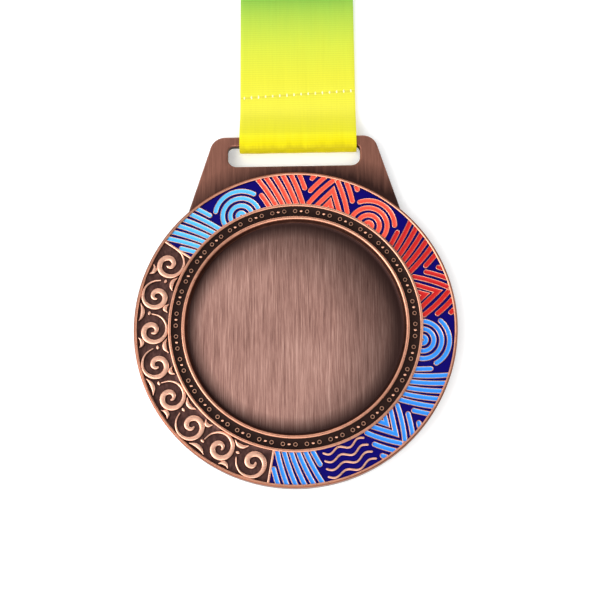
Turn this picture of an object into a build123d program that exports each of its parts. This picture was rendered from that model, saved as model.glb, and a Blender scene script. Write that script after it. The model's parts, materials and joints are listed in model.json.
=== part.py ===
from build123d import *
from math import cos, degrees, radians, sin
import os

# Finisher medal: a die-cast zinc disc with a ribbon lug, soft enamel in its decorated ring,
# and a woven neck ribbon. Millimetres. The medal lies on its back, face up (+Z), with the
# lug towards +Y. The origin is the centre of the back face.

# ---- driving dimensions ----
disc_radius = 33.25
disc_thickness = 3.0

rim_inner_radius = 32.6        # inside of the raised outer rim
band_inner_radius = 26.2       # inside of the decorated ring
fillet_rim_width = 0.6         # raised rim between the ring and the bead groove
groove_inner_radius = 23.45
recess_rim_width = 0.45        # raised rim round the recess
recess_top_radius = groove_inner_radius - recess_rim_width
recess_floor_radius = 22.2

band_floor_height = 2.2
wall_height = 2.8              # top of the metal lines between enamel cells
enamel_height = 2.6
groove_floor_height = 2.5
recess_floor_height = 1.5
back_groove_depth = 0.3
back_groove_outer_radius = 31.6
back_groove_width = 0.8

bead_count = 32
bead_ring_radius = 24.6
bead_dot_radius = 0.28
bead_ring_outer_radius = 0.42
bead_ring_hole_radius = 0.2
bead_height = 0.3
bead_start_angle = 7.9
bead_side_angle = 2.95         # from a dot to the small ring on each side of it

lug_bottom_height = 0.8
lug_thickness = 1.8
lug_top_y = 41.55
lug_base_y = 25.4
lug_top_width = 34.2
lug_base_width = 44.5
lug_corner_radius = 3.2
slot_width = 28.2
slot_bottom_y = 34.8
slot_top_y = 39.45
slot_bottom_corner_radius = 1.9
lug_root_radius = 32.9         # the lug starts inside the disc's wall, so both are one casting
slot_top_corner_radius = 1.2
bar_edge_radius = 0.6          # the bar is rounded where the ribbon wraps it
outer_edge_radius = 0.3

ribbon_width = 25.0
ribbon_thickness = 0.3
ribbon_offset_x = 0.9          # the ribbon lies against the right end of the slot
loop_inner_radius = 1.3
loop_length = 0.8              # how far the loop hangs below the middle of the bar
layer_gap = 0.1
crest_y = 41.9                 # the front layer leaves the bar here
foot_y = 47.6                  # and meets the back layer here
crease_radius = 2.0
seam_y = 52.0
seam_slope = 3.4
stitch_edge_margin = 0.9
stitch_count = 16
stitch_length = 0.85
stitch_width = 0.35
stitch_height = 0.12

hank_start_y = 77.5
hank_length = 75.0
hank_layers = 10
hank_layer_pitch = 0.5
hank_fold_radius = 0.8
tie_gap = 0.05
tie_corner_radius = 0.45
hank_tie_width = 12.0
hank_tie_thickness = 0.35

# ornament of the ring: equal panels of plain geometric motifs, worked out by formula
enamel_start_angle = -100.0
enamel_end_angle = 146.0
panel_count = 12
panel_reach = 9.1              # degrees from a panel's middle to the end of its motif
cell_wall = 0.2                # metal line round an enamel cell
cell_width = 0.95              # width of one coloured bar, arch or chevron
cell_pitch = 1.6               # from one to the next
bar_lean = 5.0                 # degrees that a bar leans across the ring
rim_overrun = 0.1              # bars are drawn this share past each rim, then trimmed
smallest_arch_radius = 0.7
arch_count = 4
chevron_slope = 9.0            # degrees that a chevron's leg runs while it crosses the ring
chevron_pitch = 3.8            # degrees
chevron_width = 2.26           # degrees
smallest_chevron_foot = 1.9    # degrees
chevron_count = 5
wave_count = 4
wave_width = 0.45
wave_height = 0.07             # share of the ring's width
scroll_count = 8
scroll_size = 2.1
scroll_turns = 0.75
scroll_tightening = 0.72       # share of its size by which a scroll winds in
scroll_fullness = 0.42         # how thick a scroll grows along its middle, against its size
scroll_blunt_end = 0.12        # thickness added all along, so that the ends aren't sharp

bar_y = (slot_top_y + lug_top_y) / 2
bar_z = lug_bottom_height + lug_thickness / 2
band_width = rim_inner_radius - band_inner_radius
band_middle_radius = (rim_inner_radius + band_inner_radius) / 2
enamel_sweep = enamel_end_angle - enamel_start_angle
panel_sweep = enamel_sweep / panel_count


def polar(angle, share):
    """A point of the decorated ring: share runs from 0 at its inside to 1 at its outside."""
    radius = band_inner_radius + share * band_width
    return (radius * cos(radians(angle)), radius * sin(radians(angle)))


def ring_sector(start, sweep):
    """A stretch of the ring's floor, from rim to rim, as a flat face."""
    with BuildSketch() as sector:
        with BuildLine():
            CenterArc((0, 0), rim_inner_radius, start, sweep)
            CenterArc((0, 0), band_inner_radius, start, sweep)
            Line(polar(start, 0), polar(start, 1))
            Line(polar(start + sweep, 0), polar(start + sweep, 1))
        make_face()
    return sector.sketch


# Each motif draws one panel about its middle angle, every cell wider by grow on each side.
def bar_motif(middle, grow):
    """Straight bars side by side, all with the same lean."""
    pitch = degrees(cell_pitch / band_middle_radius)
    half = degrees((cell_width / 2 + grow) / band_middle_radius)
    side_count = int((panel_reach + bar_lean) / pitch)
    for index in range(-side_count, side_count + 1):
        foot = middle + index * pitch - bar_lean / 2
        top = foot + bar_lean
        Polygon(polar(foot - half, -rim_overrun), polar(foot + half, -rim_overrun),
                polar(top + half, 1 + rim_overrun), polar(top - half, 1 + rim_overrun),
                align=None)


def arch_motif(middle, grow):
    """Concentric arches that stand on the ring's inner rim."""
    with Locations(polar(middle, 0)):
        for index in reversed(range(arch_count)):
            radius = smallest_arch_radius + index * cell_pitch
            half = cell_width / 2 + grow
            Circle(radius + half)
            if radius > half:
                Circle(radius - half, mode=Mode.SUBTRACT)


def chevron_motif(middle, grow):
    """Chevrons inside each other that stand on the inner rim and point outward."""
    half = chevron_width / 2 + degrees(grow / band_middle_radius)
    for index in reversed(range(chevron_count)):
        foot = smallest_chevron_foot + index * chevron_pitch
        for edge, mode in ((foot + half, Mode.ADD), (foot - half, Mode.SUBTRACT)):
            Polygon(polar(middle - edge, 0), polar(middle, edge / chevron_slope),
                    polar(middle + edge, 0), align=None, mode=mode)


def cells(motif, middle, grow=0.0):
    """One panel's cells, cut off at the panel's sides and at the rims."""
    reach = panel_reach + degrees(grow / band_middle_radius)
    with BuildSketch() as panel:
        motif(middle, grow)
        add(ring_sector(middle - reach, 2 * reach), mode=Mode.INTERSECT)
    return panel.sketch


def wave(middle, share):
    """One metal wave line along a panel."""
    steps = 12
    points = []
    for step in range(steps + 1):
        along = 2 * step / steps - 1
        points.append(polar(middle + panel_reach * along,
                            share + wave_height * sin(radians(360 * along))))
    with BuildSketch() as line:
        with BuildLine():
            Spline(points)
        trace(line_width=wave_width)
    return line.sketch


def enamel(faces, label):
    """The enamel that fills a group of cells, one solid in each, written as its own node."""
    with BuildPart() as fill:
        with BuildSketch(Plane.XY.offset(band_floor_height)):
            add(faces)
        extrude(amount=enamel_height - band_floor_height)
    fill.part.label = label
    export_step(fill.part, f"parts/{label}.step")


# ---- enamel: the panels' colours and motifs, from the lug's left side clockwise ----
panels = [
    ("sky", "bar"), ("sky", "arch"), ("coral", "bar"), ("coral", "chevron"), ("coral", "arch"),
    ("crimson", "bar"), ("crimson", "chevron"), ("azure", "arch"), ("azure", "bar"),
    ("azure", "chevron"), ("navy", "wave"), ("azure", "bar"),
]
motifs = {"bar": bar_motif, "arch": arch_motif, "chevron": chevron_motif}

enamel_cells = {}
with BuildSketch() as navy_ground:
    add(ring_sector(enamel_start_angle, enamel_sweep))
    for index, (colour, kind) in enumerate(panels):
        panel_middle = enamel_end_angle - (index + 0.5) * panel_sweep
        if kind == "wave":
            for line_index in range(wave_count):
                add(wave(panel_middle, (line_index + 0.5) / wave_count), mode=Mode.SUBTRACT)
        else:
            panel_cells = enamel_cells.setdefault(f"{colour}_{kind}_enamel", [])
            panel_cells.append(cells(motifs[kind], panel_middle))
            add(cells(motifs[kind], panel_middle, cell_wall), mode=Mode.SUBTRACT)
enamel_cells["navy_enamel"] = [navy_ground.sketch]

os.makedirs("parts", exist_ok=True)
for node_name, node_cells in enamel_cells.items():
    enamel(node_cells, node_name)


# ---- cast body: disc, rims, bead groove, recess, scrolls and lug in one piece ----
def scroll(angle, tail_angle):
    """A tapering curl of the bare part of the ring, as a flat face."""
    steps = 8
    outer_points = []
    inner_points = []
    centre_x, centre_y = polar(angle, 0.5)
    for step in range(steps + 1):
        along = step / steps
        turn = radians(tail_angle + 360 * scroll_turns * along)
        reach = scroll_size * (1 - scroll_tightening * along)
        half = scroll_fullness * scroll_size * (scroll_blunt_end + along * (1 - along))
        outer_points.append((centre_x + (reach + half) * cos(turn),
                             centre_y + (reach + half) * sin(turn)))
        inner_points.append((centre_x + (reach - half) * cos(turn),
                             centre_y + (reach - half) * sin(turn)))
    with BuildSketch() as outline:
        with BuildLine():
            Spline(outer_points)
            Spline(inner_points)
            Line(outer_points[0], inner_points[0])
            Line(outer_points[-1], inner_points[-1])
        make_face()
    return outline.sketch


scroll_pitch = (360 - enamel_sweep) / scroll_count
scrolls = []
for index in range(scroll_count):
    scroll_angle = enamel_end_angle + (index + 0.5) * scroll_pitch
    scrolls.append(scroll(scroll_angle, scroll_angle + 180 * (index % 2)))

with BuildPart() as lug:
    with BuildSketch(Plane.XY.offset(lug_bottom_height)) as lug_outline:
        with BuildLine():
            Polyline(
                (-lug_base_width / 2, lug_base_y),
                (-lug_top_width / 2, lug_top_y),
                (lug_top_width / 2, lug_top_y),
                (lug_base_width / 2, lug_base_y),
                close=True,
            )
        make_face()
        fillet(lug_outline.vertices().group_by(Axis.Y)[-1], lug_corner_radius)
        Circle(lug_root_radius, mode=Mode.SUBTRACT)
    extrude(amount=lug_thickness)
    with BuildSketch(Plane.XY.offset(lug_bottom_height)) as slot_outline:
        with Locations((0, (slot_bottom_y + slot_top_y) / 2)):
            Rectangle(slot_width, slot_top_y - slot_bottom_y)
        fillet(slot_outline.vertices().group_by(Axis.Y)[-1], slot_top_corner_radius)
        fillet(slot_outline.vertices().group_by(Axis.Y)[0], slot_bottom_corner_radius)
    extrude(amount=lug_thickness, mode=Mode.SUBTRACT)
    flat_edges = lug.edges().group_by(Axis.Z)[0] + lug.edges().group_by(Axis.Z)[-1]
    fillet([edge for edge in flat_edges if (edge @ 0.5).Y > slot_bottom_y + lug_thickness],
           bar_edge_radius)

with BuildPart() as medal_body:
    with BuildSketch(Plane.XZ) as half_section:
        with BuildLine():
            Polyline(
                (0, 0),
                (back_groove_outer_radius - back_groove_width, 0),
                (back_groove_outer_radius - back_groove_width, back_groove_depth),
                (back_groove_outer_radius, back_groove_depth),
                (back_groove_outer_radius, 0),
                (disc_radius - outer_edge_radius, 0),
            )
            RadiusArc((disc_radius - outer_edge_radius, 0), (disc_radius, outer_edge_radius),
                      -outer_edge_radius)
            Line((disc_radius, outer_edge_radius), (disc_radius, disc_thickness - outer_edge_radius))
            RadiusArc((disc_radius, disc_thickness - outer_edge_radius),
                      (disc_radius - outer_edge_radius, disc_thickness), -outer_edge_radius)
            Polyline(
                (disc_radius - outer_edge_radius, disc_thickness),
                (rim_inner_radius, disc_thickness),
                (rim_inner_radius, band_floor_height),
                (band_inner_radius, band_floor_height),
                (band_inner_radius, disc_thickness),
                (band_inner_radius - fillet_rim_width, disc_thickness),
                (band_inner_radius - fillet_rim_width, groove_floor_height),
                (groove_inner_radius, groove_floor_height),
                (groove_inner_radius, disc_thickness),
                (recess_top_radius, disc_thickness),
                (recess_floor_radius, recess_floor_height),
                (0, recess_floor_height),
                (0, 0),
            )
        make_face()
    revolve(axis=Axis.Z)

    # metal lines stand between the enamel cells over the enamelled part of the ring
    with BuildSketch(Plane.XY.offset(band_floor_height)):
        add(ring_sector(enamel_start_angle, enamel_sweep))
    extrude(amount=wall_height - band_floor_height)
    with BuildSketch(Plane.XY.offset(band_floor_height)):
        for node_cells in enamel_cells.values():
            add(node_cells)
    extrude(amount=disc_thickness - band_floor_height, mode=Mode.SUBTRACT)

    with BuildSketch(Plane.XY.offset(band_floor_height)):
        add(scrolls)
    extrude(amount=wall_height - band_floor_height)

    # beads: a dot between two small rings, repeated round the groove
    for side, is_ring in ((0, False), (-bead_side_angle, True), (bead_side_angle, True)):
        with BuildSketch(Plane.XY.offset(groove_floor_height)):
            with PolarLocations(bead_ring_radius, bead_count, start_angle=bead_start_angle + side):
                Circle(bead_ring_outer_radius if is_ring else bead_dot_radius)
                if is_ring:
                    Circle(bead_ring_hole_radius, mode=Mode.SUBTRACT)
        extrude(amount=bead_height)

    add(lug.part)

medal_body.part.label = "medal_body"
export_step(medal_body.part, "parts/medal_body.step")


# ---- ribbon: a loop round the lug's bar, two layers up to the hank, and the folded rest ----
loop_middle_radius = loop_inner_radius + ribbon_thickness / 2
back_layer_z = bar_z - loop_middle_radius
front_layer_z = back_layer_z + ribbon_thickness + layer_gap
crest_z = bar_z + loop_middle_radius
loop_centre_y = bar_y - loop_length
ribbon_left_x = ribbon_offset_x - ribbon_width / 2

with BuildPart() as ribbon_loop:
    with BuildSketch(Plane.YZ.offset(ribbon_left_x)):
        with BuildLine() as route:
            Line((hank_start_y, back_layer_z), (loop_centre_y, back_layer_z))
            CenterArc((loop_centre_y, bar_z), loop_middle_radius, 90, 180)
            FilletPolyline(
                (loop_centre_y, crest_z),
                (crest_y, crest_z),
                (foot_y, front_layer_z),
                (hank_start_y, front_layer_z),
                radius=crease_radius,
            )
        trace(line_width=ribbon_thickness)
    extrude(amount=ribbon_width)

ribbon_loop.part.label = "ribbon_loop"
export_step(ribbon_loop.part, "parts/ribbon_loop.step")

hank_height = hank_layers * hank_layer_pitch
hank_middle_y = hank_start_y + hank_length / 2
hank_middle_z = hank_tie_thickness + tie_gap + hank_height / 2

with BuildPart() as ribbon_hank:
    with Locations((ribbon_offset_x, hank_middle_y, hank_middle_z)):
        Box(ribbon_width, hank_length, hank_height)
    fillet(ribbon_hank.edges().filter_by(Axis.X), hank_fold_radius)

ribbon_hank.part.label = "ribbon_hank"
export_step(ribbon_hank.part, "parts/ribbon_hank.step")

with BuildPart() as hank_tie:
    with BuildSketch(Plane.XZ.offset(-hank_middle_y - hank_tie_width / 2)) as band:
        with Locations((ribbon_offset_x, hank_middle_z)):
            RectangleRounded(ribbon_width + 2 * (tie_gap + hank_tie_thickness),
                             hank_height + 2 * (tie_gap + hank_tie_thickness),
                             tie_corner_radius)
            RectangleRounded(ribbon_width + 2 * tie_gap, hank_height + 2 * tie_gap,
                             tie_corner_radius - hank_tie_thickness, mode=Mode.SUBTRACT)
    extrude(amount=hank_tie_width)

hank_tie.part.label = "hank_tie"
export_step(hank_tie.part, "parts/hank_tie.step")

stitch_pitch = (ribbon_width - 2 * stitch_edge_margin) / (stitch_count - 1)

with BuildPart() as seam_stitches:
    with BuildSketch(Plane.XY.offset(front_layer_z + ribbon_thickness / 2)):
        with Locations(Location((ribbon_offset_x, seam_y), seam_slope)):
            with GridLocations(stitch_pitch, 0, stitch_count, 1):
                SlotOverall(stitch_length, stitch_width, rotation=90)
    extrude(amount=stitch_height)

seam_stitches.part.label = "seam_stitches"
export_step(seam_stitches.part, "parts/seam_stitches.step")
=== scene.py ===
import json
import random
from math import atan2, cos, degrees, hypot, pi, radians, sin, tau

import bmesh
import bpy
import numpy as np
from mathutils import Matrix, Vector


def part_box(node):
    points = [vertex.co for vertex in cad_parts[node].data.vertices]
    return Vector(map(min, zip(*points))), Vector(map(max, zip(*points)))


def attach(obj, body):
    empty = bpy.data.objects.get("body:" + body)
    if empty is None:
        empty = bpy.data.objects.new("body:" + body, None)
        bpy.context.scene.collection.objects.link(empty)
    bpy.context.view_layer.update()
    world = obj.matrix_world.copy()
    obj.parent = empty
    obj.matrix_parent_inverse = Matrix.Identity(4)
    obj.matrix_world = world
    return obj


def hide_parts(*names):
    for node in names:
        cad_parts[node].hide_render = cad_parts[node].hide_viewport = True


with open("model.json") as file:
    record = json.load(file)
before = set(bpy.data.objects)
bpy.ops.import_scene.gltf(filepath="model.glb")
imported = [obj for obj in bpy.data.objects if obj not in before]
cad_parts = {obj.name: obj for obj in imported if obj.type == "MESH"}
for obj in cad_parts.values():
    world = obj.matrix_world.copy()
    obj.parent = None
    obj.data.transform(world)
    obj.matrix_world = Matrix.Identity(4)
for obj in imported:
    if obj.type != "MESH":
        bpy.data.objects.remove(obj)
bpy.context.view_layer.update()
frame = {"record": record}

# Shapes are worked out in millimetres and turned into metres when a mesh is made.
MM = 0.001

# ---- sizes taken from the frame ----
body_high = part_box("medal_body")[1]
hank_low, hank_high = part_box("ribbon_hank")
loop_low, loop_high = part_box("ribbon_loop")
tie_low, tie_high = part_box("hank_tie")
stitch_low, stitch_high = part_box("seam_stitches")
swing = next(j for j in frame["record"]["behaviour"]["joints"] if j["name"] == "ribbon_swing")

disc_radius = body_high.x / MM
disc_top = body_high.z / MM
lug_top_y = body_high.y / MM
bar_z = swing["pos_m"][2] / MM

# ---- sizes of the casting, as in the CAD model; heights are above the flat back ----
band_inside = 26.2
band_outside = 32.6
band_width = band_outside - band_inside
band_floor = 2.2
relief_base = 2.15             # raised pieces start a little below the band's floor
groove_floor = 2.5
recess_floor = 1.5
metal_line_top = 2.8
enamel_top = 2.66

enamel_start = -100.0          # degrees round the ring, from +X
enamel_end = 146.0


def srgb(red, green, blue):
    """A colour given in the usual 0 to 255 steps, as the linear values that shaders use."""
    shares = [c / 255 for c in (red, green, blue)]
    return tuple(c / 12.92 if c <= 0.04045 else ((c + 0.055) / 1.055) ** 2.4 for c in shares) + (1,)


# ---- material helpers ----
def node(tree, kind, inputs=None, **settings):
    """A new shader node. An input given as a socket is linked, and any other value is set."""
    made = tree.nodes.new(kind)
    for name, value in settings.items():
        setattr(made, name, value)
    for name, value in (inputs or {}).items():
        if isinstance(value, bpy.types.NodeSocket):
            tree.links.new(value, made.inputs[name])
        else:
            made.inputs[name].default_value = value
    return made


def ramp(tree, factor, stops):
    """A colour ramp with (position, colour) stops."""
    made = node(tree, "ShaderNodeValToRGB", {"Fac": factor})
    elements = made.color_ramp.elements
    while len(elements) < len(stops):
        elements.new(0.5)
    for element, (position, colour) in zip(elements, stops):
        element.position = position
        element.color = colour
    return made.outputs["Color"]


def new_material(name):
    """An empty node material with its Principled shader."""
    material = bpy.data.materials.new(name)
    material.use_nodes = True
    return material, material.node_tree, material.node_tree.nodes["Principled BSDF"]


def stretched_noise(tree, scale, detail=3.0, roughness=0.6):
    """Noise with its own frequency along each axis, in cycles per metre."""
    place = node(tree, "ShaderNodeTexCoord").outputs["Object"]
    mapped = node(tree, "ShaderNodeMapping", {"Vector": place, "Scale": scale})
    noise = node(tree, "ShaderNodeTexNoise",
                 {"Vector": mapped.outputs["Vector"], "Scale": 1.0, "Detail": detail,
                  "Roughness": roughness})
    return noise.outputs["Fac"]


def map_range(tree, value, low, high, to_low=0.0, to_high=1.0):
    """A value carried from one range to another, and kept inside it."""
    made = node(tree, "ShaderNodeMapRange",
                {"Value": value, "From Min": low, "From Max": high, "To Min": to_low,
                 "To Max": to_high})
    return made.outputs["Result"]


def calc(tree, operation, first, second=0.0):
    """One step of arithmetic on values."""
    made = node(tree, "ShaderNodeMath", {0: first, 1: second}, operation=operation)
    return made.outputs["Value"]


def uneven(tree, noise, amount):
    """Noise turned into a swing of this amount about zero."""
    return calc(tree, "MULTIPLY", calc(tree, "SUBTRACT", noise, 0.5), amount)


def flat_length(tree, vector):
    """The length of a vector's X and Y part."""
    flat = node(tree, "ShaderNodeVectorMath", {0: vector, 1: (1.0, 1.0, 0.0)},
                operation="MULTIPLY").outputs["Vector"]
    return node(tree, "ShaderNodeVectorMath", {0: flat}, operation="LENGTH").outputs["Value"]


def mix(tree, factor, first, second, blend="MIX"):
    """Two colours mixed or blended."""
    made = node(tree, "ShaderNodeMix", None, data_type="RGBA", blend_type=blend)
    for index, value in ((0, factor), (6, first), (7, second)):
        if isinstance(value, bpy.types.NodeSocket):
            tree.links.new(value, made.inputs[index])
        else:
            made.inputs[index].default_value = value
    return made.outputs[2]


def bump(tree, shader, height, strength, distance):
    """Fine relief in a material's surface."""
    made = node(tree, "ShaderNodeBump", {"Height": height, "Strength": strength,
                                         "Distance": distance})
    tree.links.new(made.outputs["Normal"], shader.inputs["Normal"])


def copper_material(name, colours, heights, roughness, streaks):
    """Antique copper, with a colour and roughness for its low places and others for its high ones."""
    material, tree, shader = new_material(name)
    place = node(tree, "ShaderNodeTexCoord").outputs["Object"]
    height = node(tree, "ShaderNodeSeparateXYZ", {"Vector": place}).outputs["Z"]
    blotches = stretched_noise(tree, (500, 500, 500), 4.0)
    brushing = stretched_noise(tree, streaks, 3.0)
    raised = map_range(tree, height, heights[0] * MM, heights[1] * MM)
    worn = calc(tree, "ADD", raised, uneven(tree, blotches, 0.2))
    colour = ramp(tree, worn, [(0.0, colours[0]), (1.0, colours[1])])
    grain = ramp(tree, brushing, [(0.3, (0.88, 0.87, 0.87, 1)), (0.7, (1.08, 1.07, 1.06, 1))])
    tree.links.new(mix(tree, 1.0, colour, grain, "MULTIPLY"), shader.inputs["Base Color"])
    shader.inputs["Metallic"].default_value = 1.0
    rough = map_range(tree, worn, 0.0, 1.0, *roughness)
    rough_grain = uneven(tree, brushing, 0.25)
    tree.links.new(calc(tree, "ADD", rough, rough_grain), shader.inputs["Roughness"])
    bump(tree, shader, calc(tree, "ADD", brushing, blotches), 0.08, 0.02 * MM)
    return material


def brushed_material(name, tones, streaks, shade=None, far=None, centre=(0.0, 0.0), wall=None,
                     sides=None):
    """Antique copper brushed along Y, in three tones, that turns to a darker shade at its borders.

    far, wall and sides are the millimetres where the shade starts and where it is full: from the
    centre, from the disc's axis, and in height. On the recess floor far makes painted light and
    shade, by the recess wall the darker colour is patina, and on the lug far and sides make painted
    shade.
    """
    material, tree, shader = new_material(name)
    place = node(tree, "ShaderNodeTexCoord").outputs["Object"]
    fine = stretched_noise(tree, streaks, 4.0, 0.7)
    broad = stretched_noise(tree, (1300, 90, 90), 3.0)
    clouds = stretched_noise(tree, (45, 45, 45), 2.0)
    tone = calc(tree, "ADD", calc(tree, "MULTIPLY", fine, 0.84), calc(tree, "MULTIPLY", broad, 0.16))
    tone = calc(tree, "ADD", tone, uneven(tree, clouds, 0.2))
    colour = ramp(tree, tone, list(zip((0.3, 0.5, 0.72), tones)))
    # darker away from a centre: on the recess floor and on the lug this is painted light and shade
    if far:
        moved = node(tree, "ShaderNodeVectorMath",
                     {0: place, 1: (centre[0] * MM, centre[1] * MM, 0.0)},
                     operation="SUBTRACT").outputs["Vector"]
        ragged = calc(tree, "ADD", flat_length(tree, moved), uneven(tree, broad, 3.0 * MM))
        colour = mix(tree, map_range(tree, ragged, far[0] * MM, far[1] * MM), colour, shade)
    if wall:
        reach = flat_length(tree, place)
        colour = mix(tree, map_range(tree, reach, wall[0] * MM, wall[1] * MM), colour, shade)
    # darker down the sides: painted shade on the lug's walls and in its slot
    if sides:
        height = node(tree, "ShaderNodeSeparateXYZ", {"Vector": place}).outputs["Z"]
        colour = mix(tree, map_range(tree, height, sides[0] * MM, sides[1] * MM), colour, shade)
    tree.links.new(colour, shader.inputs["Base Color"])
    shader.inputs["Metallic"].default_value = 1.0
    tree.links.new(map_range(tree, fine, 0.2, 0.8, 0.36, 0.56), shader.inputs["Roughness"])
    bump(tree, shader, tone, 0.5, 0.03 * MM)
    return material


def enamel_material(name, deep, thin, coat=0.3, specular=0.4):
    """Soft enamel: glossy, a little uneven, and lighter where it thins against the metal."""
    material, tree, shader = new_material(name)
    edge = node(tree, "ShaderNodeAttribute", attribute_name="edge").outputs["Fac"]
    mottle = stretched_noise(tree, (700, 700, 700), 3.0)
    spread = calc(tree, "ADD", edge, uneven(tree, mottle, 0.3))
    tree.links.new(ramp(tree, spread, [(0.45, deep), (1.0, thin)]), shader.inputs["Base Color"])
    tree.links.new(map_range(tree, mottle, 0.2, 0.8, 0.10, 0.22), shader.inputs["Roughness"])
    shader.inputs["Coat Weight"].default_value = coat
    shader.inputs["Specular IOR Level"].default_value = specular
    shader.inputs["Coat Roughness"].default_value = 0.06
    bump(tree, shader, mottle, 0.2, 0.02 * MM)
    return material


# dark patina for the hollows of the relief; on the recess floor the same colour is also painted shade
patina_and_shade = srgb(50, 33, 31)
polished = srgb(255, 197, 170)
relief_copper = copper_material("relief_copper", (patina_and_shade, polished), heights=(2.45, 2.76),
                                roughness=(0.5, 0.3), streaks=(900, 2600, 900))
rim_copper = copper_material("rim_copper", (srgb(92, 60, 50), srgb(228, 164, 136)),
                             heights=(2.62, 2.9), roughness=(0.42, 0.3), streaks=(900, 900, 900))
groove_copper = copper_material("groove_copper", (srgb(42, 30, 28), srgb(56, 40, 36)),
                                heights=(2.4, 2.6), roughness=(0.6, 0.6),
                                streaks=(1500, 1500, 1500))
wall_copper = copper_material("wall_copper", (srgb(88, 54, 42), srgb(142, 86, 64)),
                              heights=(0.4, 3.0), roughness=(0.42, 0.34),
                              streaks=(1500, 1500, 500))
bead_copper = copper_material("bead_copper", (srgb(64, 46, 42), srgb(236, 180, 152)),
                              heights=(2.55, 2.78), roughness=(0.5, 0.34), streaks=(900, 900, 900))
# the recess floor is painted lighter towards the lower left and darker towards the upper right: painted
# light and shade; its darker ring by the wall is patina
recess_copper = brushed_material(
    "recess_copper", (srgb(128, 90, 82), srgb(180, 136, 124), srgb(230, 186, 172)),
    streaks=(7000, 150, 300), shade=patina_and_shade, far=(14.5, 30.2), centre=(-6.6, -3.6), wall=(19.0, 22.3))
band_copper = brushed_material(
    "band_copper", (srgb(62, 42, 40), srgb(84, 58, 54), srgb(112, 80, 74)), streaks=(1400, 700, 300))
# the lug is painted darker where it meets the disc's higher rim and down its side walls and slot:
# painted shade
lug_copper = brushed_material(
    "lug_copper", (srgb(126, 85, 73), srgb(151, 102, 87), srgb(172, 120, 102)),
    streaks=(6500, 130, 300), shade=srgb(62, 41, 37), far=(38.4, 33.2), centre=(2.0, 0.0),
    sides=(2.4, 1.9))
back_copper = brushed_material(
    "back_copper", (srgb(98, 72, 66), srgb(132, 101, 92), srgb(160, 126, 114)),
    streaks=(4200, 130, 300), shade=srgb(70, 50, 46), far=(29.0, 33.0))

enamel_materials = {
    "sky": enamel_material("sky_enamel", srgb(78, 180, 244), srgb(128, 208, 250)),
    "coral": enamel_material("coral_enamel", srgb(255, 74, 52), srgb(255, 118, 92)),
    "crimson": enamel_material("crimson_enamel", srgb(190, 8, 6), srgb(218, 32, 24)),
    "azure": enamel_material("azure_enamel", srgb(34, 132, 232), srgb(104, 188, 250)),
    "navy": enamel_material("navy_enamel", srgb(8, 0, 98), srgb(16, 4, 108), coat=0.0, specular=0.1),
}


# ---- mesh helpers ----
class Shape:
    """Vertices in millimetres and faces, gathered from many small pieces before they are one mesh."""

    def __init__(self):
        self.vertices = []
        self.faces = []
        self.edge = []
        self.slots = []

    def add_rows(self, rows, edge=None, loop=False, slots=None):
        """Quads between rows of points. Each row is a closed ring. loop joins the last row to the first.

        edge is a value for each point of a row, which materials read, and slots its material slots.
        """
        start = len(self.vertices)
        across = len(rows[0])
        for row in rows:
            self.vertices += row
            self.edge += edge or [0.0] * across
        pairs = len(rows) if loop else len(rows) - 1
        for index in range(pairs):
            here = start + index * across
            there = start + (index + 1) % len(rows) * across
            for side in range(across):
                after = (side + 1) % across
                self.faces.append((here + side, here + after, there + after, there + side))
                self.slots.append(slots[side] if slots else 0)
        if not loop:
            last = start + (len(rows) - 1) * across
            self.faces.append(tuple(start + side for side in reversed(range(across))))
            self.faces.append(tuple(last + side for side in range(across)))
            self.slots += [0, 0]


def make_piece(shape, name, materials, body, replaced, smooth_angle=40):
    """A Blender object from a shape, riding on its body and standing for its CAD node."""
    mesh = bpy.data.meshes.new(name)
    mesh.from_pydata([[c * MM for c in v] for v in shape.vertices], [], shape.faces)
    mesh.attributes.new("edge", "FLOAT", "POINT").data.foreach_set("value", shape.edge)
    for material in materials:
        mesh.materials.append(material)
    mesh.polygons.foreach_set("material_index", shape.slots)
    mesh.polygons.foreach_set("use_smooth", [True] * len(shape.faces))
    faces = bmesh.new()
    faces.from_mesh(mesh)
    bmesh.ops.recalc_face_normals(faces, faces=faces.faces)
    faces.to_mesh(mesh)
    faces.free()
    mesh.set_sharp_from_angle(angle=radians(smooth_angle))
    mesh.update()
    piece = bpy.data.objects.new(name, mesh)
    bpy.context.scene.collection.objects.link(piece)
    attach(piece, body)
    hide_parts(*replaced)
    return piece


def ring_point(angle, share):
    """A point of the decorated ring: share runs from 0 at its inside to 1 at its outside."""
    radius = band_inside + share * band_width
    return (radius * cos(radians(angle)), radius * sin(radians(angle)))


def smooth(points, steps=7):
    """A Catmull-Rom curve through the points, each with any number of values."""
    known = np.array(points, float)
    padded = np.vstack([2 * known[0] - known[1], known, 2 * known[-1] - known[-2]])
    curve = []
    for index in range(len(known) - 1):
        a, b, c, d = padded[index:index + 4]
        for step in range(steps):
            t = step / steps
            curve.append(0.5 * (2 * b + (c - a) * t + (2 * a - 5 * b + 4 * c - d) * t ** 2
                                + (3 * b - a - 3 * c + d) * t ** 3))
    curve.append(known[-1])
    return np.array(curve)


def sideways(points, closed=False):
    """The unit direction to the left of a path at each point, longer where it turns a corner."""
    points = np.asarray(points, float)[:, :2]
    if closed:
        before = points - np.roll(points, 1, axis=0)
        after = np.roll(points, -1, axis=0) - points
    else:
        steps = np.diff(points, axis=0)
        before = np.vstack([steps[:1], steps])
        after = np.vstack([steps, steps[-1:]])
    before = before / np.maximum(np.linalg.norm(before, axis=1, keepdims=True), 1e-9)
    after = after / np.maximum(np.linalg.norm(after, axis=1, keepdims=True), 1e-9)
    middle = before + after
    middle /= np.maximum(np.linalg.norm(middle, axis=1, keepdims=True), 1e-9)
    stretch = 1 / np.maximum((middle * after).sum(axis=1), 0.5)
    return np.column_stack([-middle[:, 1], middle[:, 0]]) * stretch[:, None]


cap_turns = (80, 60, 38, 18)     # degrees round the end of a strip at which it has a cross-section
least_capped_half = 0.12       # narrower strips end square


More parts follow.
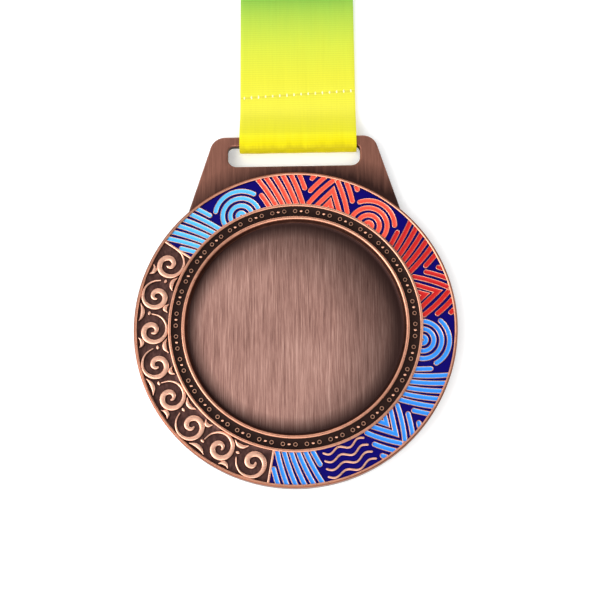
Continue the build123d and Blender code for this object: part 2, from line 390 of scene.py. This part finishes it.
def stations(path, round_start=True, round_end=True):
    """(centre, sideways, half width) at each cross-section of a strip whose path is (x, y, half)."""
    path = np.asarray(path, float)
    normals = sideways(path)
    found = [(p[:2], n, p[2]) for p, n in zip(path, normals)]
    for at_end, wanted in ((False, round_start), (True, round_end)):
        centre, normal, half = found[-1 if at_end else 0]
        if not wanted or half < least_capped_half:
            continue
        forward = np.array([normal[1], -normal[0]]) * (1 if at_end else -1)
        cap = [(centre + forward * half * sin(radians(t)), normal, half * cos(radians(t)))
               for t in cap_turns]
        found = found + cap[::-1] if at_end else cap + found
    return found


def across_row(station, section):
    """Points of one cross-section, from (across, height) pairs."""
    centre, normal, _ = station
    return [(centre[0] + normal[0] * a, centre[1] + normal[1] * a, z) for a, z in section]


# a rounded shoulder, as shares of its width in from the side and of its height down from the top
shoulder = ((0.06, 1.0), (0.3, 0.5), (0.62, 0.16), (1.0, 0.0))


def relief_section(half, base, top, bevel):
    """A raised strip with rounded shoulders, as (across, height) pairs."""
    soft = min(bevel, half * 0.95)
    drop = soft * 0.9
    right = [(half, base)] + [(half - across * soft, top - down * drop) for across, down in shoulder]
    return [(-a, z) for a, z in right] + right[::-1]


def add_relief(shape, points, bevel, top=metal_line_top, steps=7):
    """A raised strip along a smooth path of (angle, share, width) points of the ring."""
    path = smooth([(*ring_point(a, s), w / 2) for a, s, w in points], steps)
    least_half = 0.03
    shape.add_rows([across_row(s, relief_section(max(s[2], least_half), relief_base, top, bevel))
                    for s in stations(path)])


def sweep_outline(shape, outline, section):
    """A section of (outward, height) pairs carried round a closed outline."""
    outline = np.asarray(outline, float)
    normals = sideways(outline, closed=True)
    rows = [[(p[0] - n[0] * a, p[1] - n[1] * a, z) for a, z in section]
            for p, n in zip(outline, normals)]
    shape.add_rows(rows, loop=True)


# ---- enamelled part of the ring: each bar of enamel has a metal line all round it ----
line_half = 0.08
line_base = 2.3
line_side = [(line_half, line_base), (line_half, 2.68), (0.6 * line_half, 2.76)]
line_section = [(-a, z) for a, z in line_side] + [(0, metal_line_top)] + line_side[::-1]
# the enamel's surface climbs where it meets the metal: (share of the half width, rise)
meniscus = ((-1.0, 0.08), (-0.8, 0.02), (-0.5, -0.03), (0.0, -0.05), (0.5, -0.03), (0.8, 0.02),
            (1.0, 0.08))
enamel_base = 2.25
least_enamel_half = 0.02
beside_rim = 0.03              # a bar that ends within this share of a rim has no round end there


def add_bar(fill, lines, points):
    """One bar of enamel between metal lines, along (angle, share) points of the ring."""
    path = [(*ring_point(a, s), cell_width / 2) for a, s in points]
    open_start, open_end = [beside_rim < points[end][1] < 1 - beside_rim for end in (0, -1)]
    cut = [(c, n, max(half, least_enamel_half)) for c, n, half in stations(path, open_start, open_end)]
    rows = []
    for station in cut:
        half = station[2]
        section = [(share * half, enamel_top + rise) for share, rise in meniscus]
        rows.append(across_row(station, section + [(half, enamel_base), (-half, enamel_base)]))
    fill.add_rows(rows, [abs(share) for share, _ in meniscus] + [1.0, 1.0])
    left = [c + n * half for c, n, half in cut]
    right = [c - n * half for c, n, half in cut]
    sweep_outline(lines, left[::-1] + right, line_section)


# Twelve equal panels of plain geometric motifs, worked out by formula as in the CAD model.
panel_count = 12
panel_reach = 9.1              # degrees from a panel's middle to the end of its motif
cell_width = 0.95
cell_pitch = 1.6
bar_lean = 5.0                 # degrees that a bar leans across the ring
smallest_arch_radius = 0.7
arch_count = 4
arch_spread = 110              # degrees each way that an arch is followed before it is trimmed
chevron_slope = 9.0            # degrees that a chevron's leg runs while it crosses the ring
chevron_pitch = 3.8            # degrees
smallest_chevron_foot = 1.9    # degrees
chevron_count = 5
wave_count = 4
wave_width = 0.45
wave_height = 0.07             # share of the ring's width
wave_bevel = 0.14
under_rim = 0.03               # share by which a cell's end is tucked under a rim
band_middle = (band_inside + band_outside) / 2
panel_sweep = (enamel_end - enamel_start) / panel_count
path_steps = 28


def trimmed(points, middle):
    """The stretch of a path of (angle, share) points that lies in a panel."""
    return [(a, s) for a, s in points
            if abs(a - middle) <= panel_reach and -under_rim <= s <= 1 + under_rim]


def bar_paths(middle):
    """Straight bars side by side, all with the same lean."""
    pitch = cell_pitch / (radians(1) * band_middle)
    side_count = int((panel_reach + bar_lean) / pitch)
    shares = np.linspace(-under_rim, 1 + under_rim, path_steps)
    return [[(middle + index * pitch + bar_lean * (share - 0.5), share) for share in shares]
            for index in range(-side_count, side_count + 1)]


def arch_paths(middle):
    """Concentric arches that stand on the ring's inner rim."""
    foot_x, foot_y = ring_point(middle, 0)
    paths = []
    for index in range(arch_count):
        radius = smallest_arch_radius + index * cell_pitch
        path = []
        turns = np.linspace(radians(middle - arch_spread), radians(middle + arch_spread),
                            2 * path_steps)
        for turn in turns:
            x, y = foot_x + radius * cos(turn), foot_y + radius * sin(turn)
            off_middle = (degrees(atan2(y, x)) - middle + 180) % 360 - 180
            path.append((middle + off_middle, (hypot(x, y) - band_inside) / band_width))
        paths.append(path)
    return paths


def chevron_paths(middle):
    """Chevrons inside each other that stand on the inner rim and point outward."""
    paths = []
    for index in range(chevron_count):
        foot = smallest_chevron_foot + index * chevron_pitch
        tip = foot / chevron_slope
        if tip < 1 - beside_rim:
            paths.append([(middle - foot, -under_rim), (middle, tip), (middle + foot, -under_rim)])
            continue
        shares = np.linspace(-under_rim, 1 + under_rim, path_steps)
        for side in (-1, 1):
            paths.append([(middle + side * (foot - chevron_slope * s), s) for s in shares])
    return paths


def add_motif(fill, lines, kind, middle):
    """The enamel bars and metal lines of one panel."""
    for path in motif_paths[kind](middle):
        whole_chevron = kind == "chevron" and len(path) == 3
        kept = path if whole_chevron else trimmed(path, middle)
        if len(kept) > 2:
            add_bar(fill, lines, kept)


motif_paths = {"bar": bar_paths, "arch": arch_paths, "chevron": chevron_paths}
panels = [
    ("sky", "bar"), ("sky", "arch"), ("coral", "bar"), ("coral", "chevron"), ("coral", "arch"),
    ("crimson", "bar"), ("crimson", "chevron"), ("azure", "arch"), ("azure", "bar"),
    ("azure", "chevron"), ("navy", "wave"), ("azure", "bar"),
]
relief = Shape()
fills = {}
for index, (colour_name, kind) in enumerate(panels):
    panel_middle = enamel_end - (index + 0.5) * panel_sweep
    if kind == "wave":
        angles = np.linspace(panel_middle - panel_reach, panel_middle + panel_reach, 15)
        rises = [wave_height * sin(tau * (a - panel_middle) / panel_reach) for a in angles]
        for line_index in range(wave_count):
            share = (line_index + 0.5) / wave_count
            add_relief(relief, [(a, share + rise, wave_width) for a, rise in zip(angles, rises)],
                       wave_bevel)
    else:
        fill = fills.setdefault((colour_name, kind), Shape())
        add_motif(fill, relief, kind, panel_middle)
for (colour_name, kind), fill in fills.items():
    make_piece(fill, f"{colour_name}_{kind}_fill", [enamel_materials[colour_name]], "medal",
               [f"{colour_name}_{kind}_enamel"])

# the dark blue floor between the cells is one flat sector of the ring
navy_top = 2.5
navy_radii = np.linspace(band_inside - 0.1, band_outside + 0.1, 6)
navy_rows = []
for angle in np.linspace(enamel_start + 0.3, enamel_end - 0.2, 246):
    across, outward = cos(radians(angle)), sin(radians(angle))
    navy_rows.append([(r * across, r * outward, navy_top) for r in navy_radii]
                     + [(r * across, r * outward, relief_base) for r in navy_radii[[-1, 0]]])
navy = Shape()
navy.add_rows(navy_rows)
make_piece(navy, "navy_fill", [enamel_materials["navy"]], "medal",
           ["navy_enamel"])

# ---- bare part of the ring: an evenly repeated scroll standing on the patinated floor ----
scroll_count = 8
scroll_turns = 1.5
scroll_start_radius = 3.55     # mm, where a curl leaves the crossing before it
scroll_end_radius = 0.5
scroll_tightening = 1.25       # above 1, a curl winds in fast at first
scroll_width = 1.05
scroll_bevel = 0.22
scroll_pitch = (360 - (enamel_end - enamel_start)) / scroll_count
leaf_width = 0.85
leaf_tip_width = 0.1
leaf_bend = 0.09               # share of the ring's width
short_leaf_lead = 2.8          # degrees
berry_width = 0.75
border_width = 0.5
border_bevel = 0.16


def to_ring(x, y):
    """The (angle, share) of a point on the bare side, with angles from 0 to 360."""
    return degrees(atan2(y, x)) % 360, (hypot(x, y) - band_inside) / band_width


def add_curl(shape, middle, side):
    """A tapering spiral that winds in from the crossing before it."""
    centre_x, centre_y = ring_point(middle, 0.5)
    curl = []
    for along in np.linspace(0, 1, 26):
        turn = radians(middle - 90) + side * tau * scroll_turns * along
        winding = (1 - along) ** scroll_tightening
        reach = scroll_end_radius + (scroll_start_radius - scroll_end_radius) * winding
        width = 0.15 + scroll_width * sin(pi * (0.04 + 0.84 * along))
        x, y = centre_x + reach * cos(turn), centre_y + reach * sin(turn)
        curl.append((*to_ring(x, y), width))
    add_relief(shape, curl, scroll_bevel, steps=3)


def add_leaves(shape, crossing, side):
    """A long and a short leaf in the corners between two curls, and a berry."""
    for place, middle, reach in ((-1, crossing, 3.3), (1, crossing - short_leaf_lead, 1.9)):
        tip_share = 0.5 + place * side * 0.45
        belly_share = tip_share - place * side * leaf_bend
        add_relief(shape, [(middle - reach, tip_share, leaf_tip_width),
                           (middle - 0.35 * reach, belly_share, leaf_width),
                           (middle + 0.35 * reach, belly_share, leaf_width),
                           (middle + reach, tip_share, leaf_tip_width)], scroll_bevel)
    berry_share = 0.5 - 0.13 * side
    add_relief(shape, [(crossing + step, berry_share, berry_width) for step in (-0.02, 0.02)],
               bevel=0.3, top=metal_line_top - 0.01, steps=1)


for index in range(scroll_count):
    curl_side = 1 if index % 2 else -1
    add_curl(relief, enamel_end + (index + 0.5) * scroll_pitch, curl_side)
    if index > 0:
        add_leaves(relief, enamel_end + index * scroll_pitch, curl_side)
# plain borders close the enamelled part at both ends
for border in (enamel_start, enamel_end):
    border_points = [(border, share, border_width) for share in (-under_rim, 0.5, 1 + under_rim)]
    add_relief(relief, border_points, border_bevel)

make_piece(relief, "ring_relief", [relief_copper], "medal", ["medal_body"])

# ---- beads: a dot between two small rings, repeated round the groove ----
bead_count = 32
bead_radius = 24.6             # of the circle that the beads stand on
bead_start = 7.9               # degrees
bead_side = 2.95               # degrees from a dot to each of its rings
bead_base = 2.4
bead_ring_radius = 0.36
bead_ring_side = [(0.1, bead_base), (0.1, 2.66), (0.05, 2.74)]
bead_ring_section = [(-a, z) for a, z in bead_ring_side] + bead_ring_side[::-1]
dot_half = 0.28
dot_top = 2.82
beads = Shape()
for index in range(bead_count):
    for side in (-1, 0, 1):
        turn = radians(bead_start + index * 360 / bead_count + side * bead_side)
        x, y = bead_radius * cos(turn), bead_radius * sin(turn)
        if side:
            outline = [(x + bead_ring_radius * cos(t), y + bead_ring_radius * sin(t))
                       for t in np.linspace(0, tau, 17)[:-1]]
            sweep_outline(beads, outline, bead_ring_section)
        else:
            path = [(x - 0.01, y, dot_half), (x + 0.01, y, dot_half)]
            beads.add_rows([across_row(s, relief_section(s[2], bead_base, dot_top, dot_half))
                            for s in stations(path)])
make_piece(beads, "groove_beads", [bead_copper], "medal", ["medal_body"])

# ---- disc: a turned profile of (radius, height), each stretch with its own finish ----
RECESS, RIM, GROOVE, BAND, WALL, BACK = range(6)
back_groove_depth = 0.3
axis_radius = 0.02             # the profile stops just short of the axis
profile = [
    # floor of the recess
    (axis_radius, recess_floor, RECESS), (12.0, recess_floor, RECESS),
    (20.5, recess_floor, RECESS), (21.7, recess_floor, RECESS), (22.1, 1.55, RECESS),
    # wall of the recess and the inner rim
    (22.32, 1.7, RIM), (22.46, 1.95, RIM), (22.72, 2.6, RIM), (22.82, 2.84, RIM),
    (22.92, 2.95, RIM), (23.04, disc_top, RIM), (23.3, disc_top, RIM), (23.4, 2.94, RIM),
    (23.46, 2.8, RIM),
    # bead groove
    (23.48, 2.56, GROOVE), (23.6, groove_floor, GROOVE), (25.5, groove_floor, GROOVE),
    # rim between the groove and the band
    (25.58, 2.56, RIM), (25.6, 2.82, RIM), (25.66, 2.94, RIM), (25.78, disc_top, RIM),
    (26.04, disc_top, RIM), (26.15, 2.94, RIM), (band_inside, 2.8, RIM),
    # floor of the band
    (26.22, 2.3, BAND), (26.35, band_floor, BAND), (27.0, band_floor, BAND),
    (31.8, band_floor, BAND), (32.45, band_floor, BAND),
    # outer rim
    (32.58, 2.3, RIM), (band_outside, 2.82, RIM), (32.66, 2.94, RIM), (32.78, disc_top, RIM),
    # side wall, with rounded edges
    (32.98, disc_top, WALL), (33.14, 2.95, WALL), (33.22, 2.84, WALL), (disc_radius, 2.68, WALL),
    (disc_radius, 0.3, WALL), (33.2, 0.12, WALL), (33.08, 0.02, WALL),
    # back, with one shallow groove near its edge
    (32.9, 0.0, BACK), (31.7, 0.0, BACK), (31.6, 0.08, BACK), (31.55, back_groove_depth, BACK),
    (30.85, back_groove_depth, BACK), (30.8, 0.08, BACK), (30.7, 0.0, BACK), (29.0, 0.0, BACK),
    (axis_radius, 0.0, BACK),
]
disc = Shape()
disc_rows = [[(r * cos(t), r * sin(t), z) for r, z, _ in profile]
             for t in np.linspace(0, tau, 289)[:-1]]
disc.add_rows(disc_rows, loop=True, slots=[finish for _, _, finish in profile])
make_piece(disc, "cast_disc", [recess_copper, rim_copper, groove_copper, band_copper,
                               wall_copper, back_copper], "medal",
           ["medal_body"])


# ---- lug: a flat plate with rounded edges and the ribbon slot ----
def rounded_outline(corners, closed=True, steps=8):
    """Points of a path whose corners (x, y, radius) are rounded by arcs."""
    points = []
    count = len(corners)
    for index, (x, y, radius) in enumerate(corners):
        if radius == 0 or (not closed and index in (0, count - 1)):
            points.append((x, y))
            continue
        corner = Vector((x, y))
        before = (Vector(corners[index - 1][:2]) - corner).normalized()
        after = (Vector(corners[(index + 1) % count][:2]) - corner).normalized()
        half = before.angle(after) / 2
        reach = radius / np.tan(half)
        centre = corner + (before + after).normalized() * radius / sin(half)
        start, end = corner + before * reach - centre, corner + after * reach - centre
        turn = start.angle_signed(end)
        for step in range(steps + 1):
            arm = Matrix.Rotation(-turn * step / steps, 2) @ start
            points.append(tuple(centre + arm))
    return points


lug_top_half = 17.1
lug_corner_radius = 3.2
lug_root_radius = 32.9         # the lug's foot lies inside the disc's side wall
lug_root_spread = 43.4         # degrees from +Y to each end of its foot
lug_low, lug_high = 0.8, 2.6
lug_edge = 0.35
slot_half = 14.1
slot_low_y, slot_high_y = 34.8, 39.45
slot_low_radius, slot_high_radius = 1.9, 1.2
root_turns = np.linspace(radians(90 + lug_root_spread), radians(90 - lug_root_spread), 25)
lug_corners = [(lug_top_half, lug_top_y, lug_corner_radius),
               (-lug_top_half, lug_top_y, lug_corner_radius)]
lug_corners += [(lug_root_radius * cos(t), lug_root_radius * sin(t), 0) for t in root_turns]
slot_corners = [(-slot_half, slot_low_y, slot_low_radius),
                (-slot_half, slot_high_y, slot_high_radius),
                (slot_half, slot_high_y, slot_high_radius),
                (slot_half, slot_low_y, slot_low_radius)]

lug_curve = bpy.data.curves.new("lug_outline", "CURVE")
lug_curve.dimensions = "2D"
lug_curve.fill_mode = "BOTH"
for corners in (lug_corners, slot_corners):
    points = rounded_outline(corners)
    spline = lug_curve.splines.new("POLY")
    spline.points.add(len(points) - 1)
    for point, (x, y) in zip(spline.points, points):
        point.co = (x * MM, y * MM, 0, 1)
    spline.use_cyclic_u = True
lug_curve.extrude = ((lug_high - lug_low) / 2 - lug_edge) * MM
lug_curve.bevel_depth = lug_edge * MM
lug_curve.bevel_resolution = 4
lug_curve.offset = -lug_edge * MM
lug_template = bpy.data.objects.new("lug_outline", lug_curve)
lug_mesh = bpy.data.meshes.new_from_object(lug_template)
bpy.data.objects.remove(lug_template)
lug_mesh.transform(Matrix.Translation((0, 0, (lug_low + lug_high) / 2 * MM)))
lug_mesh.materials.clear()
lug_mesh.materials.append(lug_copper)
lug_mesh.set_sharp_from_angle(angle=radians(30))
lug = bpy.data.objects.new("cast_lug", lug_mesh)
bpy.context.scene.collection.objects.link(lug)
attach(lug, "medal")
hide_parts("medal_body")

# ---- ribbon: one strip, folded round the bar and put away in a hank ----
ribbon_left = loop_low.x / MM
ribbon_right = loop_high.x / MM
ribbon_width = ribbon_right - ribbon_left
ribbon_thickness = 0.3
loop_radius = 1.45
loop_middle_y = 39.7           # the middle of the loop round the bar
crest_y, crest_z = 41.9, bar_z + loop_radius
crest_radius = 2.4             # the front layer's bend over the bar
foot_y = 47.6
foot_radius = 9.0              # its bend where it comes down on the back layer
layer_step = 0.4               # height from the back layer to the front one at the seam
back_z = bar_z - loop_radius
front_z = back_z + layer_step
seam_y = (stitch_low.y + stitch_high.y) / 2 / MM
hank_near, hank_far = hank_low.y / MM, hank_high.y / MM
pass_count = 5                 # passes of the two layers, one on top of the other
pass_pitch = 1.0
layer_half = 0.25              # from the middle of a pass to each of its layers
turn_spread = 1.2              # how much the hank's turns differ in place
random.seed(7)


def hank_pair():
    """Middle line of the two ribbon layers through the hank, as (y, z) points."""
    low = hank_low.z / MM
    middle_z = (front_z + back_z) / 2
    turn_radius = pass_pitch / 2
    # the pair comes down to the floor, and its first pass starts there
    points = [(hank_near, middle_z), (hank_near + 3, middle_z + 0.15), (hank_near + 6, low + 0.48)]
    for index in range(pass_count):
        z = low + turn_radius + index * pass_pitch
        away = index % 2 == 0
        near = hank_near + 1.2 + random.random() * turn_spread
        far = hank_far - 0.9 - random.random() * turn_spread
        if index == 0:
            near = hank_near + 10
        steps = np.linspace(near, far, 13) if away else np.linspace(far, near, 13)
        points += [(y, z + 0.03 * sin(y / 9 + index)) for y in steps]
        if index < pass_count - 1:
            end = steps[-1]
            sign = 1 if away else -1
            turns = np.linspace(-pi / 2, pi / 2, 9)[1:-1]
            points += [(end + sign * turn_radius * cos(t), z + turn_radius + turn_radius * sin(t))
                       for t in turns]
    return points


def offset_path(points, amount):
    """A path beside another one, to its left if amount is positive."""
    path = np.array(points, float)
    return path + sideways(path) * amount


pair = hank_pair()
front_hank = offset_path(pair, layer_half)
back_hank = offset_path(pair, -layer_half)
front_hank[0] = (hank_near, front_z)
back_hank[0] = (hank_near, back_z)
neck = np.array(pair[-1])
neck_turns = np.linspace(pi / 2, -pi / 2, 9)[1:-1]
neck_arc = [(neck[0] + layer_half * cos(t), neck[1] + layer_half * sin(t)) for t in neck_turns]

slope = rounded_outline([(loop_middle_y, crest_z, 0), (crest_y, crest_z, crest_radius),
                         (foot_y, front_z, foot_radius), (seam_y + 6, front_z, 0)], closed=False)
loop_turns = np.linspace(-pi / 2, pi / 2, 15)
loop_arc = [(loop_middle_y - loop_radius * cos(t), bar_z + loop_radius * sin(t))
            for t in loop_turns]
route = [(seam_y - 0.3, back_z), (seam_y - 6, back_z)] + loop_arc + slope[1:]
route += [tuple(p) for p in front_hank] + neck_arc + [tuple(p) for p in back_hank[::-1]]
route += [(seam_y + 0.3, back_z)]


def spaced(points, longest):
    """The same path with a point at least every so many millimetres."""
    result = [points[0]]
    for start, end in zip(points, points[1:]):
        length = hypot(end[0] - start[0], end[1] - start[1])
        count = max(1, int(np.ceil(length / longest)))
        for step in range(1, count + 1):
            share = step / count
            result.append((start[0] + (end[0] - start[0]) * share,
                           start[1] + (end[1] - start[1]) * share))
    return result


# the stretch by the medal has points close together, and the hank fewer
visible_end = len(loop_arc) + len(slope) + 3
route = spaced(route[:visible_end], 0.45) + spaced(route[visible_end - 1:], 3.0)[1:]
route = np.array([p for p, q in zip(route, [(None, None)] + route) if p != q])
lengths = np.concatenate([[0], np.cumsum(np.linalg.norm(np.diff(route, axis=0), axis=1))])
fold_length = lengths[np.argmin(route[:, 0])]
ribbon_length = lengths[-1]

stitch_count = 16
stitch_margin = 0.9
stitch_pitch = (ribbon_width - 2 * stitch_margin) / (stitch_count - 1)
stitch_reach = 0.42            # half of a stitch's length
stitch_end_half, stitch_middle_half = 0.12, 0.17
seam_rise = (stitch_high.y - stitch_low.y) / MM / 2 - stitch_reach
pucker_depth = 0.16
pucker_reach = 0.34


def seam_line(x):
    """Where the seam crosses the ribbon at x: it runs a little askew."""
    middle = (ribbon_left + ribbon_right) / 2
    return seam_y + seam_rise * (x - middle) / (ribbon_width / 2)


def pucker(x, y):
    """How far the seam pulls the front layer down at a point."""
    away = abs(y - seam_line(x))
    phase = (x - ribbon_left - stitch_margin) / stitch_pitch * tau
    return pucker_depth * np.exp(-(away / pucker_reach) ** 2) * (0.65 + 0.35 * cos(phase))


seam_travel = seam_y - loop_middle_y + loop_radius
rib_pitch = 0.52
selvedge = 0.4                 # the ribbon thins over this distance from its sides
ribbon = Shape()
travels = []
shares = np.linspace(0, 1, 61)
rows = []
for index, ((y, z), normal, length) in enumerate(zip(route, sideways(route), lengths)):
    on_front = length > fold_length and y < seam_y + 8 and index < len(route) / 2
    upper, lower = [], []
    for share in shares:
        x = ribbon_left + share * ribbon_width
        inset = min(min(share, 1 - share) * ribbon_width / selvedge, 1.0)
        half = ribbon_thickness / 2 * (0.55 + 0.45 * inset)
        # the cloth is faintly uneven
        ripple = 0.02 * sin(x * 0.9 + length * 0.11) * sin(length * 0.16)
        down = pucker(x, y) if on_front else 0
        cy, cz = y + normal[0] * ripple, z + normal[1] * ripple - down
        upper.append((x, cy - normal[0] * half, cz - normal[1] * half))
        lower.append((x, cy + normal[0] * half, cz + normal[1] * half))
    rows.append(upper + lower[::-1])
    from_medal = min(length - fold_length, ribbon_length - length + seam_travel)
    travels += [from_medal] * (2 * len(shares))
ribbon.add_rows(rows)
ribbon.edge = travels          # the dye, and the painted shade and light by the fold, follow the distance from the medal

# the dye runs from yellow at both ends, by the medal, to green further up; the darker olive band just
# past the fold round the bar is painted shade, and the paler yellow over the bar and down the slope is
# dye lightened with painted light
ribbon_material, tree, shader = new_material("ribbon_satin")
travel = node(tree, "ShaderNodeAttribute", attribute_name="edge").outputs["Fac"]
streaks = stretched_noise(tree, (420, 60, 60), 4.0, 0.7)
dye_and_shade_at = calc(tree, "ADD", travel, uneven(tree, streaks, 2.6))
dye_and_fold_shade = ramp(tree, map_range(tree, dye_and_shade_at, -20.0, 130.0), [
    (0.0, srgb(252, 226, 0)), (0.130, srgb(254, 236, 0)), (0.1395, srgb(214, 198, 0)),
    (0.149, srgb(252, 240, 6)), (0.165, srgb(255, 252, 50)),
    (0.21, srgb(255, 252, 86)), (0.26, srgb(246, 247, 76)), (0.31, srgb(228, 244, 84)),
    (0.36, srgb(190, 230, 92)), (0.40, srgb(140, 214, 100)), (0.53, srgb(70, 180, 110)),
    (0.8, srgb(40, 150, 140)), (1.0, srgb(40, 150, 140))])
warp = stretched_noise(tree, (2600, 60, 60), 3.0, 0.7)
weave = stretched_noise(tree, (2000, 900, 900), 2.0)
yarn = mix(tree, 1.0, dye_and_fold_shade, ramp(tree, warp, [(0.3, (0.75, 0.73, 0.58, 1)),
                                            (0.7, (0.79, 0.77, 0.62, 1))]), "MULTIPLY")
ribs = calc(tree, "SINE", calc(tree, "MULTIPLY", travel, tau / rib_pitch))
rib_shade = map_range(tree, ribs, -1.0, 1.0, 0.0, 0.16)
yarn = mix(tree, rib_shade, yarn, (0.55, 0.5, 0.3, 1), "MULTIPLY")
spot = node(tree, "ShaderNodeSeparateXYZ",
            {"Vector": node(tree, "ShaderNodeTexCoord").outputs["Object"]})
askew = calc(tree, "MULTIPLY", spot.outputs["X"], seam_rise / (ribbon_width / 2))
levelled = calc(tree, "SUBTRACT", spot.outputs["Y"], askew)
# the cloth is painted a darker olive along the seam: painted shade in the crease that the stitches pull
# in
from_seam = calc(tree, "ABSOLUTE", calc(tree, "SUBTRACT", levelled, (seam_line(0) - 0.05) * MM))
crease_shade = map_range(tree, from_seam, 0.26 * MM, 0.04 * MM, 0.0, 0.6)
tree.links.new(mix(tree, crease_shade, yarn, srgb(196, 178, 70)), shader.inputs["Base Color"])
shader.inputs["Roughness"].default_value = 0.55
shader.inputs["Sheen Weight"].default_value = 0.04
shader.inputs["Specular IOR Level"].default_value = 0.15
shader.inputs["Sheen Roughness"].default_value = 0.4
cloth = calc(tree, "ADD", calc(tree, "MULTIPLY", warp, 0.3), calc(tree, "MULTIPLY", weave, 0.4))
bump(tree, shader, calc(tree, "SUBTRACT", cloth, calc(tree, "MULTIPLY", ribs, 0.15)), 0.3,
     0.05 * MM)

ribbon_piece = make_piece(ribbon, "ribbon_strip", [ribbon_material], "ribbon",
                          ["ribbon_loop", "ribbon_hank"], 60)

# ---- seam: a row of stitches through both layers ----
thread_material, tree, shader = new_material("thread")
twist = stretched_noise(tree, (3000, 6000, 3000), 2.0)
tree.links.new(ramp(tree, twist, [(0.3, srgb(240, 238, 150)), (0.7, srgb(255, 253, 214))]),
               shader.inputs["Base Color"])
shader.inputs["Roughness"].default_value = 0.7
stitches = Shape()
for index in range(stitch_count):
    x = ribbon_left + stitch_margin + index * stitch_pitch
    y = seam_line(x)
    ends = [(x, y - stitch_reach, stitch_end_half), (x, y, stitch_middle_half),
            (x, y + stitch_reach, stitch_end_half)]
    for side, z in ((1, front_z + 0.08), (-1, back_z - 0.08)):
        rows = []
        for centre, normal, half in stations(smooth(ends, 4)):
            sag = 0.06 * abs(centre[1] - y) / stitch_reach
            rows.append([(centre[0] + normal[0] * half * cos(t), centre[1] + normal[1] * half * cos(t),
                          z + side * (0.5 * half * sin(t) - sag))
                         for t in np.linspace(0, tau, 9)[:-1]])
        stitches.add_rows(rows)
seam = make_piece(stitches, "seam_thread", [thread_material], "ribbon",
                  ["seam_stitches"], 60)

# ---- tie: a thin band round the hank ----
tie_material, tree, shader = new_material("tie_band")
haze = stretched_noise(tree, (300, 900, 300), 3.0)
tree.links.new(ramp(tree, haze, [(0.3, srgb(190, 193, 190)), (0.7, srgb(208, 210, 206))]),
               shader.inputs["Base Color"])
shader.inputs["Roughness"].default_value = 0.3
tie_thickness = 0.35
tie_corner = 0.45
tie_edge = 0.1
x0, y0, z0 = tie_low / MM
x1, y1, z1 = tie_high / MM
outer_loop = rounded_outline([(x0, z0, tie_corner), (x1, z0, tie_corner), (x1, z1, tie_corner),
                              (x0, z1, tie_corner)], steps=6)
outer = np.array(spaced(outer_loop + outer_loop[:1], 1.5)[:-1])
inward = sideways(outer, closed=True)       # its corners run round to the left, so left is inward
section = [(0.0, y0 + tie_edge), (0.0, y1 - tie_edge), (tie_edge, y1),
           (tie_thickness - tie_edge, y1), (tie_thickness, y1 - tie_edge),
           (tie_thickness, y0 + tie_edge), (tie_thickness - tie_edge, y0), (tie_edge, y0)]
tie = Shape()
tie.add_rows([[(p[0] + n[0] * depth, y, p[1] + n[1] * depth) for depth, y in section]
              for p, n in zip(outer, inward)], loop=True)
tie_piece = make_piece(tie, "tie_wrap", [tie_material], "ribbon", ["hank_tie"])

# ---- floor ----
floor_material, tree, shader = new_material("floor")
shader.inputs["Base Color"].default_value = (0.9, 0.9, 0.9, 1)
shader.inputs["Roughness"].default_value = 0.9
shader.inputs["Emission Color"].default_value = (1, 1, 1, 1)
shader.inputs["Emission Strength"].default_value = 0.25
floor_half = 3.0               # metres
floor_z = -0.4 * MM            # a hair below the medal's back
floor_mesh = bpy.data.meshes.new("floor")
floor_mesh.from_pydata([(x * floor_half, y * floor_half, floor_z)
                        for x, y in ((-1, -1), (1, -1), (1, 1), (-1, 1))], [], [(0, 1, 2, 3)])
floor_mesh.materials.append(floor_material)
floor = bpy.data.objects.new("floor", floor_mesh)
bpy.context.scene.collection.objects.link(floor)


# ---- lights and camera ----
def area_light(name, place, aim, size, power):
    """A white rectangular light, in metres and watts."""
    light = bpy.data.lights.new(name, "AREA")
    light.shape = "RECTANGLE"
    light.size, light.size_y = size
    light.energy = power
    lamp = bpy.data.objects.new(name, light)
    bpy.context.scene.collection.objects.link(lamp)
    lamp.location = place
    lamp.rotation_euler = (Vector(aim) - Vector(place)).to_track_quat("-Z", "Y").to_euler()


# name, place, aim, size and power
area_light("softbox_left", (-0.36, -0.10, 0.26), (0, 0, 0), (0.3, 0.5), 1.5)
area_light("softbox_front", (-0.05, -0.42, 0.34), (0, 0, 0), (0.5, 0.2), 0.8)
area_light("softbox_right", (0.42, 0.10, 0.30), (0, 0, 0), (0.25, 0.4), 0.5)
area_light("softbox_back", (0.0, 0.50, 0.28), (0, 0.03, 0), (0.5, 0.2), 0.6)

# the surroundings are brighter on the left and in front
world = bpy.data.worlds.new("studio")
world.use_nodes = True
tree = world.node_tree
direction = node(tree, "ShaderNodeTexCoord").outputs["Generated"]
leaning = node(tree, "ShaderNodeVectorMath", {0: direction, 1: (-0.75, -0.5, 0.0)},
               operation="DOT_PRODUCT").outputs["Value"]
tree.links.new(map_range(tree, leaning, -0.4, 0.4, 0.3, 1.2),
               tree.nodes["Background"].inputs["Strength"])
tree.nodes["Background"].inputs["Color"].default_value = (1, 1, 1, 1)
bpy.context.scene.world = world
bpy.context.scene.view_settings.view_transform = "Standard"

# the photograph's viewing angle, above the medal and a little to its right
azimuth, elevation, roll = radians(4.10), radians(75.43), radians(-0.56)
target = Vector((0.99, 5.57, 1.43)) * MM
distance = 247.0 * MM
back = Vector((sin(azimuth) * cos(elevation), -cos(azimuth) * cos(elevation), sin(elevation)))
right = Vector((0, 1, 0)).cross(back).normalized()
up = back.cross(right)
right, up = right * cos(roll) + up * sin(roll), up * cos(roll) - right * sin(roll)
camera = bpy.data.objects.new("camera", bpy.data.cameras.new("camera"))
bpy.context.scene.collection.objects.link(camera)
camera.matrix_world = Matrix.Translation(target + back * distance) @ Matrix(
    (right, up, back)).transposed().to_4x4()
camera.data.lens = 71.45
camera.data.sensor_width = 36
camera.data.clip_start = 0.01
bpy.context.scene.camera = camera
